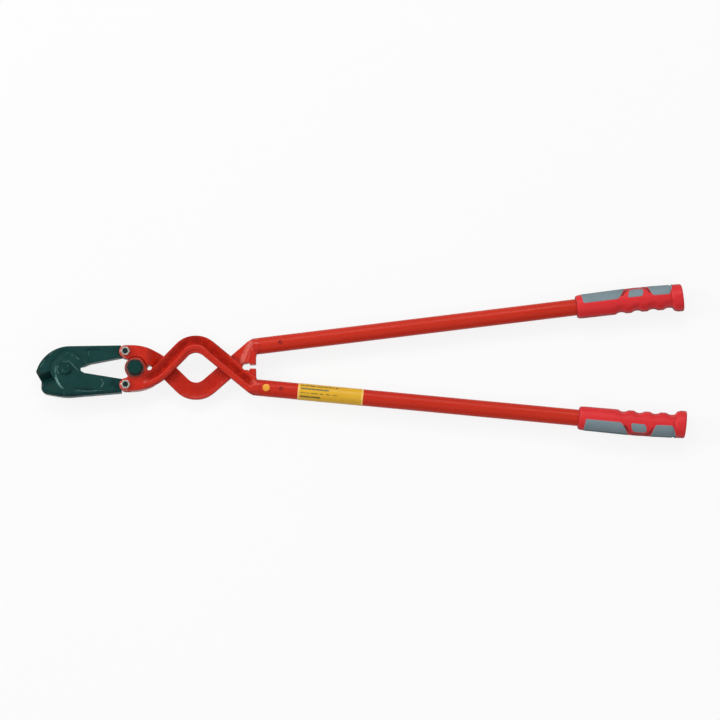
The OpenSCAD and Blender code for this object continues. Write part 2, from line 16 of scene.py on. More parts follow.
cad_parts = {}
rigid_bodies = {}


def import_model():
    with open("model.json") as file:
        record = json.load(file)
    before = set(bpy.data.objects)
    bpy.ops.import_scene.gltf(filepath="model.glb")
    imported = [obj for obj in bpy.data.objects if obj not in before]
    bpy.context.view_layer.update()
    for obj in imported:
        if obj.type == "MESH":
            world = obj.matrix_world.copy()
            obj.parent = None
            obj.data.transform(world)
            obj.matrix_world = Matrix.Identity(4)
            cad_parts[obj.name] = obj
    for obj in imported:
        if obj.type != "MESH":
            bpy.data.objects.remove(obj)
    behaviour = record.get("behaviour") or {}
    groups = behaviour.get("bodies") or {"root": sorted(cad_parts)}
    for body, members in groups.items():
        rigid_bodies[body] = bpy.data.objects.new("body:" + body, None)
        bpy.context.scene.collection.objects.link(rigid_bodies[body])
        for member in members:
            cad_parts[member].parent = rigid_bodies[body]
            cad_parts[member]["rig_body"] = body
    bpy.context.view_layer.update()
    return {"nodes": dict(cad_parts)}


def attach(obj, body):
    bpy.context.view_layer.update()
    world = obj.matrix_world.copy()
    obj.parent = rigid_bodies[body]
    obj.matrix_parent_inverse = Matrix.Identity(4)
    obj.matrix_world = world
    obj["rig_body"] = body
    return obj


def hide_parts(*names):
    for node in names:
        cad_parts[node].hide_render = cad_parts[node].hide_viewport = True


MM = 0.001
MID = 19.25  # height of the tool's middle plane over the resting face

# Arms, in millimetres from the centre bolt
CHEEK = np.array([-4.05, -20.196])
BAND_TURN, BAND_TURN_R = np.array([23.7, -17.2]), 65
HUMP, HUMP_R = np.array([82.2, 42.1]), 27
BEND, BEND_R = np.array([165.5, -28.5]), 14
BAND_HALF = 11.9
ARM_HALF = 11
GROOVE_SHIFT, GROOVE_HALF, GROOVE_DEPTH = 3, 4, 3.5
STOP_X, STOP_LEN = 158.3, 9.3

# Jaws, from the jaw bolt
JAW_PIN = np.array([-97.4, 0])
BLADE_ANGLE = 207
BLADE_IN, BLADE_OUT = 20, 37.5
JAW_HALF = 10
LAP = 0.15
LOBE_R = 14.5
LINK = np.array([-13.45, 23.3])  # the upper link bolt
JAWS_OPEN = 17  # most turn of one jaw against the other

# Handles, along their own axis from the bend
HANDLE_ANGLE = 6.23
TUBE_R = 11.5
LABEL_AT, LABEL_LEN = 60, 91

# Grips, along the handle from the grip's front end
GRIP_START = 451
GRIP_LEN = 149
GRIP_R = 17.3
NECK_R = 17.05
GRIP_END_R = 19.1
GRIP_END_LEAN = 4.6
FLARE_AT = 132.9  # the dip before the end's flare
FINGER_START, FINGER_PITCH, FINGERS = 61, 22.3, 4
FINGER_R, FINGER_DEPTH = 12, 2.4


def smoothstep(low, high, x):
    t = np.clip((np.asarray(x, float) - low) / (high - low), 0, 1)
    return t * t * (3 - 2 * t)


def hill(x, at, width):
    return np.exp(-(((x - at) / width) ** 2))


def heading(v):
    return math.atan2(v[1], v[0])


def direction(a):
    return np.array([math.cos(a), math.sin(a)])


def stations(points, radii, step=0.5):
    """Points about step apart along a line with rounded corners, with their headings and lengths."""
    out = [(points[0], heading(points[1] - points[0]))]
    for a, b, c, r in zip(points, points[1:], points[2:], radii[1:]):
        start, turn = heading(b - a), heading(c - b) - heading(b - a)
        turn -= 2 * math.pi * round(turn / (2 * math.pi))
        side = math.copysign(1, turn)
        first = b - r * math.tan(abs(turn) / 2) * direction(start)
        centre = first + side * r * direction(start + math.pi / 2)
        n = max(2, int(abs(turn) * r / step))
        heads = [start + turn * i / n for i in range(n + 1)]
        out += [(centre - side * r * direction(h + math.pi / 2), h) for h in heads]
    out.append((points[-1], heading(points[-1] - points[-2])))
    dense = []
    for (p, h), (q, k) in zip(out, out[1:]):
        n = max(1, int(np.linalg.norm(q - p) / step))
        dense += [(p + (q - p) * i / n, h + (k - h) * i / n) for i in range(n)]
    place, head = (np.array(part) for part in zip(*dense, out[-1]))
    run = np.concatenate([[0], np.cumsum(np.linalg.norm(np.diff(place, axis=0), axis=1))])
    return place, head, run


def along(path, points):
    """How far each point lies along a path, and how far to its left."""
    place, head, run = path
    parts = np.array_split(points, len(points) // 4000 + 1)
    near = np.concatenate([((part[:, None] - place) ** 2).sum(2).argmin(1) for part in parts])
    x, y = (points - place[near]).T
    c, s = np.cos(head[near]), np.sin(head[near])
    return run[near] + x * c + y * s, y * c - x * s


def waves(points, size, seed):
    """A smooth, repeatable unevenness from -1 to 1 with bumps about size across."""
    terms = 7
    rng = np.random.default_rng(seed)
    total = np.zeros(len(points))
    for _ in range(terms):
        axis = rng.normal(size=3)
        axis *= rng.uniform(0.7, 1.4) * 2 * math.pi / size / np.linalg.norm(axis)
        total += np.sin(points @ axis + rng.uniform(0, 2 * math.pi))
    return total / terms


# Meshes

FLAT_ANGLE = math.radians(0.6)  # faces that meet at less are one flat face
SHARP_ANGLE = math.radians(35)  # edges that turn by more get a round
ARM_VOXEL, JAW_VOXEL, QUICK_COARSER = 0.75, 0.55, 1.7  # fineness of the forgings' meshes
PULL = 0.6  # how far each round of smoothing takes a point towards its neighbours' middle


@contextmanager
def edited(mesh):
    """A mesh opened for bmesh's tools and written back after them."""
    bm = bmesh.new()
    bm.from_mesh(mesh)
    yield bm
    bm.to_mesh(mesh)
    bm.free()


def new_object(data):
    """An object in the scene, named after its mesh, light or camera."""
    ob = bpy.data.objects.new(data.name, data)
    bpy.context.scene.collection.objects.link(ob)
    return ob


def mesh_from(name, points, faces):
    """A smooth mesh from points in millimetres."""
    mesh = bpy.data.meshes.new(name)
    mesh.from_pydata((points * MM).tolist(), [], faces)
    mesh.update()
    mesh.shade_smooth()
    return mesh


def bar_faces(rows, n):
    """Faces of a closed bar with rows of n points each along it."""
    faces = []
    for k in range(rows):
        m = (k + 1) % rows
        faces += [(k * n + i, k * n + i + 1, m * n + i + 1, m * n + i) for i in range(n - 1)]
    faces.append(tuple(k * n for k in range(rows))[::-1])
    faces.append(tuple(k * n + n - 1 for k in range(rows)))
    return faces


def vectors(items, key):
    """What a mesh stores under a key, as rows of three."""
    values = np.empty(len(items) * 3, np.float32)
    items.foreach_get(key, values)
    return values.reshape(-1, 3).astype(float)


def coordinates(mesh):
    return vectors(mesh.vertices, "co") / MM


def set_coordinates(mesh, co):
    mesh.vertices.foreach_set("co", (co * MM).ravel())
    mesh.update()


def normals(mesh):
    return vectors(mesh.vertex_normals, "vector")


def welded(node, extra=()):
    """A copy of a CAD node's mesh with its faces joined along their edges, and any extra closed shapes."""
    bm = bmesh.new()
    bm.from_mesh(frame["nodes"][node].data)
    bmesh.ops.remove_doubles(bm, verts=bm.verts, dist=2e-6)
    for points, faces in extra:
        verts = [bm.verts.new(Vector(p) * MM) for p in points]
        for f in faces:
            bm.faces.new([verts[i] for i in f])
    mesh = bpy.data.meshes.new(node + "_welded")
    bm.to_mesh(mesh)
    bm.free()
    return mesh


def relax(co, edges, rounds, weight):
    """Evens out a mesh by moving each point towards its neighbours' middle."""
    a, b = edges.reshape(-1, 2).T
    count = np.bincount(np.concatenate([a, b]), minlength=len(co))[:, None]
    for _ in range(rounds):
        total = np.stack([np.bincount(a, v[b], len(v)) + np.bincount(b, v[a], len(v)) for v in co.T], 1)
        co = co + (total / np.maximum(count, 1) - co) * PULL * weight[:, None]
    return co


def forging(node, voxel, rounds, sculpt, keep, extra):
    """A finely meshed copy of a CAD node with a forging's soft edges. keep gives the points that stay sharp,
    from 0 to 1, and sculpt moves the points, with z from the middle plane."""
    ob = new_object(welded(node, extra))
    remesh = ob.modifiers.new("Remesh", "REMESH")
    remesh.voxel_size = voxel * MM
    mesh = bpy.data.meshes.new_from_object(ob.evaluated_get(bpy.context.evaluated_depsgraph_get()))
    ob.modifiers.clear()
    ob.data = mesh
    ob.name = mesh.name = node + "_forging"
    edges = np.empty(len(mesh.edges) * 2, np.int32)
    mesh.edges.foreach_get("vertices", edges)
    co = coordinates(mesh)
    weight = 1 - keep(co)
    co = relax(co, edges, rounds, weight)
    set_coordinates(mesh, co)
    co = sculpt(co - [0, 0, MID], normals(mesh)) + [0, 0, MID]
    co = relax(co, edges, 2, weight * 0.6)
    set_coordinates(mesh, co)
    mesh.shade_smooth()
    return ob


def machined(node, made, edge, segments=2):
    """A copy of a CAD node, named for how it is made, with its sharp edges broken by a small round."""
    mesh = welded(node)
    with edited(mesh) as bm:
        bmesh.ops.dissolve_limit(
            bm, angle_limit=FLAT_ANGLE, verts=bm.verts, edges=bm.edges, delimit={"NORMAL"}
        )
        sharp = [e for e in bm.edges if e.is_manifold and e.calc_face_angle() > SHARP_ANGLE]
        shape = {"offset": edge * MM, "segments": segments, "profile": 0.5}
        bmesh.ops.bevel(bm, geom=sharp, affect="EDGES", clamp_overlap=True, **shape)
    mesh.name = f"{node}_{made}"
    mesh.shade_smooth()
    ob = new_object(mesh)
    ob.modifiers.new("WeightedNormal", "WEIGHTED_NORMAL").weight = 80
    return ob


def placed(ob, node, slot, *materials, replace=True):
    """Puts a piece on the body of a CAD node, which it stands for, and gives it its finish."""
    body = frame["nodes"][node]["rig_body"]
    for m in materials:
        ob.data.materials.append(m)
    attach(ob, body)
    if replace:
        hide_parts(node)


# Materials


def linear(colour):
    """A colour for a node from its 0 to 255 screen values."""
    shares = [c / 255 for c in colour]
    return [c / 12.92 if c <= 0.04045 else ((c + 0.055) / 1.055) ** 2.4 for c in shares] + [1]


def preset(node, values):
    """Sets a node's inputs by their names."""
    for key, value in values.items():
        node.inputs[key].default_value = value


class Look:
    """A node material around one Principled shader."""

    def __init__(self, name, rough, metallic=0, specular=0.5):
        self.material = bpy.data.materials.new(name)
        self.material.use_nodes = True
        self.tree = self.material.node_tree
        self.shader = self.tree.nodes["Principled BSDF"]
        preset(self.shader, {"Roughness": rough, "Metallic": metallic, "Specular IOR Level": specular})
        self.place = self.node("ShaderNodeTexCoord").outputs["Object"]

    def node(self, kind, **settings):
        n = self.tree.nodes.new(kind)
        for key, value in settings.items():
            setattr(n, key, value)
        return n

    def link(self, a, b):
        self.tree.links.new(a, b)

    def noise(self, size, detail=3, rough=0.5, stretch=None):
        """Noise with features about size millimetres across. stretch is a scale on each axis and a turn
        in degrees."""
        n = self.node("ShaderNodeTexNoise")
        preset(n, {"Scale": 1000 / size, "Detail": detail, "Roughness": rough})
        place = self.place
        if stretch is not None:
            m = self.node("ShaderNodeMapping")
            preset(m, {"Rotation": (0, 0, math.radians(stretch[3])), "Scale": stretch[:3]})
            self.link(place, m.inputs["Vector"])
            place = m.outputs["Vector"]
        self.link(place, n.inputs["Vector"])
        return n.outputs["Fac"]

    def span(self, value, from_low, from_high, to_low=0, to_high=1):
        m = self.node("ShaderNodeMapRange")
        preset(m, {"From Min": from_low, "From Max": from_high, "To Min": to_low, "To Max": to_high})
        self.link(value, m.inputs["Value"])
        return m.outputs["Result"]

    def blend(self, share, a, b):
        """Colour a where share is 0 and b where it is 1. Each is a socket, a grey from 0 to 1, or three
        screen values from 0 to 255."""
        m = self.node("ShaderNodeMix", data_type="RGBA")
        self.link(share, m.inputs["Factor"])
        for key, v in ((6, a), (7, b)):
            if isinstance(v, tuple):
                m.inputs[key].default_value = linear(v)
            elif isinstance(v, float):
                m.inputs[key].default_value = (v, v, v, 1)
            else:
                self.link(v, m.inputs[key])
        return m.outputs[2]

    def drift(self, noise, a, b, low=0.3):
        """A colour that wanders between a and b with a noise."""
        return self.blend(self.span(noise, low, 1 - low), a, b)

    def join(self, operation, a, b):
        m = self.node("ShaderNodeMath", operation=operation)
        self.link(a, m.inputs[0])
        self.link(b, m.inputs[1])
        return m.outputs[0]

    def over(self, base, colour, noise, low, high, most, where=None):
        """Lays a colour over the base in patches, where a noise is high."""
        share = self.span(noise, low, high, 0, most)
        if where is not None:
            share = self.join("MULTIPLY", where, share)
        return self.blend(share, base, colour)

    def edges(self, low=0.53, high=0.6):
        """1 on raised edges, 0 elsewhere."""
        g = self.node("ShaderNodeNewGeometry")
        return self.span(g.outputs["Pointiness"], low, high)

    def colour(self, socket):
        self.link(socket, self.shader.inputs["Base Color"])

    def roughness(self, noise, low, high):
        self.link(self.span(noise, 0.3, 0.7, low, high), self.shader.inputs["Roughness"])

    def marked(self, name, grain, base, colour, least=0.5):
        """Lays a colour over the base where the mesh stores a mark, broken up by a grain."""
        mark = self.node("ShaderNodeAttribute", attribute_name=name).outputs["Fac"]
        broken = self.join("MULTIPLY", mark, self.span(grain, 0.38, 0.6, least, 1))
        return self.blend(broken, base, colour)

    def bumped(self, *layers):
        """The material, with relief from layers of noise: a noise's settings and a depth in millimetres."""
        target = self.shader.inputs["Normal"]
        for *noise, depth in reversed(layers):
            b = self.node("ShaderNodeBump")
            preset(b, {"Distance": depth * MM})
            self.link(self.noise(*noise), b.inputs["Height"])
            self.link(b.outputs["Normal"], target)
            target = b.inputs["Normal"]
        return self.material


def arm_paint():
    look = Look("arm_paint", 0.26, specular=0.36)
    base = look.drift(look.noise(35, 3), (210, 45, 25), (202, 39, 22))
    base = look.over(base, (120, 34, 26), look.noise(6, 5, 0.7), 0.5, 0.68, 0.7, look.edges(0.54, 0.62))
    # Painted shade in the channel, on the side walls and on the band's back
    base = look.marked("shade", look.noise(9, 3), base, (134, 18, 12))
    # Painted highlights: pinkish streaks on lit chamfers and slopes
    base = look.marked("painted_highlight_and_wear", look.noise(2.2, 4, 0.6), base, (232, 126, 112))
    # A brownish, darker tint round the centre hub and beside the upper link boss
    look.colour(look.marked("tinted", look.noise(3, 4, 0.6), base, (120, 78, 68)))
    look.roughness(look.noise(14, 4), 0.2, 0.34)
    # The painted shade mark also dulls the sheen there
    recess = look.node("ShaderNodeAttribute", attribute_name="shade").outputs["Fac"]
    look.link(look.span(recess, 0, 0.7, 0.36, 0.05), look.shader.inputs["Specular IOR Level"])
    return look.bumped((2.6, 2, 0.035), (0.8, 2, 0.008))


def tube_paint():
    look = Look("tube_paint", 0.36, specular=0.22)
    base = look.drift(look.noise(60, 3, stretch=(0.35, 1, 1, 0)), (212, 48, 24), (204, 43, 22))
    streaks = look.noise(9, 6, 0.75, stretch=(0.25, 1, 1, 0))
    look.colour(look.over(base, (176, 38, 25), streaks, 0.66, 0.74, 0.5))
    look.roughness(look.noise(16, 4, stretch=(0.3, 1, 1, 0)), 0.3, 0.45)
    return look.bumped((1.8, 2, 0.014), (0.5, 2, 0.004))


def jaw_finish():
    look = Look("jaw_finish", 0.45, specular=0.2)
    base = look.drift(look.noise(18, 4, 0.6), (12, 58, 55), (17, 66, 63))
    base = look.over(base, (52, 92, 90), look.noise(1.4, 4, 0.7), 0.62, 0.72, 0.5)
    base = look.over(base, (70, 108, 104), look.noise(3.5, 5, 0.7), 0.42, 0.62, 0.8, look.edges())
    # Painted shade on the bevels, along dark edges and grooves, and round the link eyes
    base = look.marked("shade", look.noise(6, 4), base, (2, 38, 38))
    # A brownish tint towards the noses
    base = look.marked("tinted", look.noise(5, 4), base, (50, 52, 44))
    # Painted highlights on lit steps and edges, with specks of wear on the upper jaw's outer edge
    look.colour(look.marked("painted_highlight_and_wear", look.noise(1.9, 5, 0.75), base, (138, 186, 178), 0.1))
    look.roughness(look.noise(7, 5), 0.34, 0.55)
    return look.bumped((3.2, 3, 0.06), (0.7, 3, 0.6, 0.02))


def ground_blade():
    look = Look("ground_blade", 0.42, specular=0.35)
    ground = (0.7, 3, 0.6, (0.08, 1, 1, -27))
    grain = look.noise(*ground)
    base = look.drift(grain, (8, 48, 45), (18, 60, 57), 0.35)
    base = look.over(base, (50, 86, 82), look.noise(2.5, 4, 0.7), 0.4, 0.6, 0.8, look.edges())
    # Painted shade on the bevels that face away from the light
    look.colour(look.marked("shade", look.noise(6, 4), base, (3, 44, 42)))
    look.roughness(grain, 0.32, 0.5)
    return look.bumped((*ground, 0.02), (4, 2, 0.02))


def blackened():
    look = Look("blackened_bolt", 0.42, specular=0.15)
    base = look.drift(look.noise(4, 4, 0.6), (10, 54, 49), (18, 64, 60), 0.35)
    base = look.over(base, (92, 116, 112), look.noise(1.6, 5, 0.7), 0.4, 0.6, 0.8, look.edges())
    # A darker, browner tint round the centre bolt head's edge and on the link bolts' ends
    look.colour(look.marked("tinted", look.noise(3, 4, 0.6), base, (34, 30, 32)))
    look.roughness(look.noise(2.2, 4), 0.3, 0.5)
    return look.bumped((1.2, 3, 0.012), (0.35, 3, 0.006))


def zinc():
    look = Look("zinc", 0.3, metallic=0.45)
    base = look.drift(look.noise(3, 4, 0.6), (204, 198, 192), (222, 216, 208), 0.35)
    look.colour(look.over(base, (160, 136, 130), look.noise(1.3, 5, 0.7), 0.46, 0.62, 0.75))
    look.roughness(look.noise(1.5, 4), 0.22, 0.4)
    return look.bumped((0.9, 3, 0.008), (0.25, 3, 0.004))


def washer_steel():
    look = Look("washer_steel", 0.45, metallic=0.4, specular=0.3)
    look.colour(look.drift(look.noise(3, 4, 0.6), (104, 74, 68), (128, 98, 90), 0.35))
    look.roughness(look.noise(1.5, 4), 0.36, 0.55)
    return look.bumped((0.9, 3, 0.01))


def painted_pin():
    look = Look("painted_pin", 0.5, specular=0.3)
    look.colour(look.drift(look.noise(2, 4, 0.6), (150, 32, 22), (176, 40, 26), 0.35))
    look.roughness(look.noise(1, 4), 0.4, 0.6)
    return look.bumped((0.5, 3, 0.008))


def grip_plastic():
    look = Look("grip_plastic", 0.5, specular=0.35)
    base = look.drift(look.noise(45, 3), (234, 45, 48), (226, 39, 44))
    base = look.over(base, (230, 56, 58), look.noise(7, 5, 0.7), 0.6, 0.75, 0.35)
    # Painted shade in the groove, along the sides, at the front end and before the flare
    look.colour(look.marked("shade", look.noise(8, 3), base, (112, 12, 22)))
    look.roughness(look.noise(12, 4), 0.42, 0.58)
    return look.bumped((0.9, 2, 0.02), (0.35, 2, 0.01))


def inlay_rubber():
    look = Look("inlay_rubber", 0.62, specular=0.3)
    base = look.drift(look.noise(22, 3), (124, 144, 150), (133, 150, 158))
    base = look.over(base, (142, 160, 164), look.noise(2, 4, 0.6), 0.58, 0.7, 0.4)
    # Painted shade along the inlays' sides
    look.colour(look.marked("shade", look.noise(8, 3), base, (58, 74, 80)))
    look.roughness(look.noise(6, 4), 0.52, 0.72)
    return look.bumped((0.75, 2, 0.05), (0.3, 2, 0.015))


def label_print():
    """A yellow wrap with a pale rim at both ends and bars of grey print that say nothing."""
    look = Look("label_print", 0.4, specular=0.35)
    preset(look.shader, {"Coat Weight": 0.08, "Coat Roughness": 0.2})
    at = look.node("ShaderNodeSeparateXYZ")
    turn = look.node("ShaderNodeMapping", vector_type="TEXTURE")
    preset(turn, {"Location": (*BEND * MM, MID * MM), "Rotation": (0, 0, math.radians(-HANDLE_ANGLE))})
    look.link(look.place, turn.inputs["Vector"])
    look.link(turn.outputs["Vector"], at.inputs["Vector"])
    x, y = at.outputs["X"], at.outputs["Y"]

    def between(value, low, high, soft=0.25):
        up = look.span(value, (low - soft) * MM, (low + soft) * MM)
        down = look.span(value, (high - soft) * MM, (high + soft) * MM, 1, 0)
        return look.join("MULTIPLY", up, down)

    colour = look.drift(look.noise(30, 3), (240, 188, 44), (233, 178, 38))
    words = look.noise(3.2, 3, 0.7, stretch=(1, 0.35, 0.35, -HANDLE_ANGLE))
    for low, high, begin, end, hard in (
        (7.2, 9.0, 64, 116, 0.42),
        (2.4, 4.8, 64, 103, 0.34),
        (-3.0, -1.6, 64, 119, 0.45),
        (-8.3, -6.2, 64, 92, 0.36),
    ):
        bar = look.join("MULTIPLY", between(y, low, high), between(x, begin, end))
        colour = look.over(colour, (92, 88, 40), words, hard, hard + 0.08, 0.85, bar)
    first, last = LABEL_AT, LABEL_AT + LABEL_LEN
    ends = look.join("MAXIMUM", between(x, first - 1, first + 2.4), between(x, last - 2.4, last + 1))
    look.colour(look.blend(ends, colour, (255, 206, 112)))
    look.roughness(look.noise(8, 4), 0.3, 0.46)
    return look.bumped((1.6, 2, 0.01))


def dot_print():
    look = Look("dot_print", 0.42, specular=0.35)
    look.colour(look.drift(look.noise(5, 3), (252, 178, 60), (246, 166, 56)))
    look.roughness(look.noise(3, 4), 0.34, 0.5)
    return look.bumped((1.2, 2, 0.01))


def floor_finish():
    """A white floor: most of what a camera sees of it is plain white, and the rest keeps the shadows. It
    throws little light back up at the object."""
    look = Look("floor_finish", 0.85, specular=0.1)
    rays = look.node("ShaderNodeLightPath").outputs
    seen = look.join("MAXIMUM", rays["Is Camera Ray"], rays["Is Glossy Ray"])
    seen = look.join("MAXIMUM", seen, rays["Is Transmission Ray"])
    white = look.drift(look.noise(700, 2), 0.9, 0.93)
    look.colour(look.blend(seen, 0.28, white))
    mix = look.node("ShaderNodeMixShader")
    look.link(look.span(seen, 0, 1, 0, 0.85), mix.inputs["Fac"])
    look.link(look.shader.outputs[0], mix.inputs[1])
    look.link(look.node("ShaderNodeEmission").outputs[0], mix.inputs[2])
    look.link(mix.outputs[0], look.tree.nodes["Material Output"].inputs["Surface"])
    return look.material


# Marks


def arc(centre, radius, begin, end):
    """Points along an arc, from one angle in degrees to another."""
    turn = np.radians(np.linspace(begin, end, 13))
    return [(centre[0] + radius * math.cos(t), centre[1] + radius * math.sin(t)) for t in turn]


# Where a finish gets painted highlights (with specks of wear on the upper jaw's outer edge), painted shade or
# a brownish tint: lines with a half width and a strength
JAW_MARKS = {
    "lower_jaw": {
        "painted_highlight_and_wear": [
            ([(-111.2, -5), (-111, -9.5), (-110.2, -13)], 2.1, 1.0),
            ([(-109.4, -14.5), (-107.4, -18.6), (-105.4, -22)], 2.0, 1.0),
            ([(-105.6, -22), (-103.4, -24.6), (-100.6, -27.4)], 1.2, 0.8),
            ([(-46.3, -15.8), (-44.3, -21), (-46.8, -25.8)], 0.9, 0.6),
            ([(-84, -30.4), (-66, -31.8), (-44.2, -30.8)], 0.6, 0.4),
        ],
        "shade": [
            ([(-84.8, -27.2), (-59, -28.9)], 2.2, 0.7),
            ([(-31, -22), (-17, -27)], 7, 0.85),
            ([(-31, -17), (-22, -18)], 5, 0.5),
            ([(-128, -15.5), (-112, -14.5)], 5, 0.8),
            ([(-125, -31.5), (-115, -36), (-98, -38.5), (-70, -37), (-40, -34.5), (-22, -33)], 5.5, 0.85),
        ],
        "tinted": [([(-120, -22), (-112, -27)], 4, 0.35)],
    },
    "upper_jaw": {
        "painted_highlight_and_wear": [
            ([(-64.8, 23.8), (-64.8, 19)], 0.8, 0.35),
            ([(-132, 2.5), (-125.6, 12)], 0.8, 0.3),
            ([(-119, 19.3), (-112, 25.2)], 0.8, 0.3),
        ],
        "shade": [
            ([(-70, 26.8), (-50, 26.8)], 2.4, 0.75),
            ([(-131, -8.5), (-113, -9)], 6, 0.9),
            ([(-136, -3), (-128.5, 9.5), (-118, 21), (-106, 28.8)], 3, 0.45),
            ([(-28, 26), (-17, 20)], 7, 0.5),
        ],
        "tinted": [([(-136, -3), (-131, -14)], 4.5, 0.8)],
    },
    # The flange's painted highlights on its lit edges, and painted shade beside the jaw bolt's head and the
    # shoulder
    "flange": {
        "painted_highlight_and_wear": [
            ([(-109.6, 3), (-110.8, -2), (-111, -5)], 1.2, 0.45),
            ([(-107.6, 4.5), (-104.4, -4.5)], 0.9, 0.45),
            ([(-109.2, 0.5), (-105.8, -7)], 0.9, 0.4),
            ([(-100.2, 10), (-94.5, 10)], 0.8, 0.3),
            ([(-92.7, 11.4), (-86, 4.6), (-79.9, -2.4)], 0.8, 0.45),
            ([(-99, 22.2), (-93.6, 22)], 0.7, 0.25),
            ([(-88.4, 19.4), (-82.4, 16.4), (-77.6, 13)], 0.7, 0.35),
        ],
        "shade": [
            ([(-92.6, -8.2), (-88.8, -5.2)], 2.4, 0.8),
            ([(-92.4, 8), (-87, 2.4), (-82, -3.4)], 1.9, 0.45),
        ],
    },
}

# Painted highlights on the link bosses' rims, the lower bend and the rear flank; a brownish tint round the
# hub
ARM_MARKS = {
    "front": {
        "painted_highlight_and_wear": [
            (arc(LINK * [1, -1], 8.2, 150, 290), 1.5, 0.8),
            ([(163, -19), (166.5, -22.5)], 1.6, 0.45),
        ],
        "tinted": [
            (arc((0, 0), 13.4, 128, 250), 2.6, 0.95),
            (arc((0, 0), 13.4, -90, 60), 1.5, 0.3),
        ],
    },
    "rear": {
        "painted_highlight_and_wear": [
            (arc(LINK, 8.2, 130, 265), 1.5, 0.8),
            ([(148.4, 8), (151.4, 16.5), (155, 25), (159.2, 33)], 5.2, 0.6),
            ([(147, 8), (149, 18)], 1.8, 1.0),
        ],
        "tinted": [(arc(LINK, 8.2, 20, 110), 1.5, 0.4)],
    },
}


def distance_to(points, line):
    """Distance from points to a polyline."""
    line = np.array(line, float)
    best = np.full(len(points), np.inf)
    for a, b in zip(line, line[1:]):
        t = np.clip((points - a) @ (b - a) / ((b - a) @ (b - a)), 0, 1)
        best = np.minimum(best, np.linalg.norm(points - a - t[:, None] * (b - a), axis=1))
    return best


def stored_mark(mesh, key, value):
    mesh.attributes.new(key, "FLOAT", "POINT").data.foreach_set("value", value.astype(np.float32))


def mark_finish(mesh, marks, low):
    """Stores the marks above a height on a mesh, for its finish to read."""
    co = coordinates(mesh)
    front = smoothstep(low, low + 1, co[:, 2])
    for key, lines in marks.items():
        value = np.zeros(len(co))
        for line, width, strength in lines:
            near = smoothstep(width, width * 0.35, distance_to(co[:, :2], line))
            value = np.maximum(value, strength * near)
        stored_mark(mesh, key, value * front)


# Arms

HANDLE_AXIS = direction(-math.radians(HANDLE_ANGLE))
HANDLE_SIDE = np.array([-HANDLE_AXIS[1], HANDLE_AXIS[0]])
ARM_END = BEND + 6.5 * HANDLE_AXIS
ARM_PATH = stations([CHEEK, BAND_TURN, HUMP, BEND, ARM_END], [0, BAND_TURN_R, HUMP_R, BEND_R, 0])
DISH = 2.0  # depth of the hollow in the band's back
ARM_UNEVEN = 0.1


def groove_filling():
    """A closed strip that fills the CAD arm's flat-bottomed groove, so that the sculpt can shape its own."""
    start = CHEEK + (BAND_TURN - CHEEK) * 0.25
    end = HUMP + (BEND - HUMP) * 0.86
    place, head, _ = stations([start, BAND_TURN, HUMP, end], [0, BAND_TURN_R * 0.6, HUMP_R, 0], 2)
    left = np.stack([-np.sin(head), np.cos(head)], 1)
    near, far = GROOVE_SHIFT - GROOVE_HALF - 0.3, GROOVE_SHIFT + GROOVE_HALF + 0.3
    floor, top = ARM_HALF - GROOVE_DEPTH - 0.4, ARM_HALF - 0.02
    corners = ((near, floor), (far, floor), (far, top), (near, top))
    rows = [np.column_stack([place + off * left, np.full(len(place), z + MID)]) for off, z in corners]
    return np.concatenate(rows), bar_faces(4, len(place))


def channel(u):
    """Depth of the front face under its outer edge across the band, from -1 at the inner to 1 at the outer
    edge: a long slope down from the outer edge, and a short one up to the ridge."""
    depth = np.interp(u, [-1.2, -0.85, -0.36, -0.08, 0.06, 0.9, 1.1], [1.0, 0.5, 0.2, 3.7, 4.1, 0.5, 0.2])
    rim = 1.5 * smoothstep(0.84, 1.0, u) + 2.4 * smoothstep(-0.66, -1.0, u) ** 1.5
    return depth + rim


def band_place(p):
    """Where points lie on the arm: run along it, place across from -1 to 1, place across the channel, and
    how far the channel has faded out."""
    s, t = along(ARM_PATH, p[:, :2])
    u = t / BAND_HALF
    shift = 0.2 * smoothstep(26, 8, np.abs(p[:, 0] - HUMP[0]))
    bend_s = ARM_PATH[2][((ARM_PATH[0] - BEND) ** 2).sum(1).argmin()]
    onto = smoothstep(4, 26, p[:, 0]) * smoothstep(1.25, 1.02, np.abs(u))
    return s - bend_s, u, np.clip(u, -1, 1) - shift, onto * smoothstep(-1, -12, s - bend_s)


def half_band(x):
    """1 where the band is half as thick as the arm's ends, by the distance along the tool."""
    return smoothstep(26, 34, x) * smoothstep(138, 128, x)


def in_tool(a, b, z):
    """Points from their places along and aside of the lower handle's axis."""
    return np.column_stack([BEND + np.outer(a, HANDLE_AXIS) + np.outer(b, HANDLE_SIDE), z])


def round_end(p, run):
    """Brings the points near the tube in to its radius round the handle's axis."""
    x, z = p[:, 0], p[:, 2]
    rel = p[:, :2] - BEND
    a, b = rel @ HANDLE_AXIS, rel @ HANDLE_SIDE
    r = np.hypot(b, z)
    # The stop's tab keeps its shape
    tab = smoothstep(7.5, 10.5, b) * smoothstep(STOP_X - 4, STOP_X - 1, x)
    tab *= smoothstep(STOP_X + STOP_LEN + 1.4, STOP_X + STOP_LEN + 0.4, x)
    amount = smoothstep(-15, -1, a) * (1 - tab) * (run > -45)
    scale = (TUBE_R - 0.1) / np.maximum(r, 1e-6)
    flush = amount * smoothstep(-3, 3, a) * ((r > 9) & (a < 6.4))
    grow = 1 + (scale - 1) * np.where(scale < 1, amount, flush)
    near = (a > -17) & (np.abs(b) < 22)
    # The end's rim reaches forward to the tube's mouth
    rim = smoothstep(5, 6.2, a) * smoothstep(7.2, 6.9, a) * smoothstep(TUBE_R - 2.4, TUBE_R - 1.6, r)
    a = a + 0.8 * rim * near
    b, z = np.where(near, b * grow, b), np.where(near, z * grow, z)
    return in_tool(a, b, z)


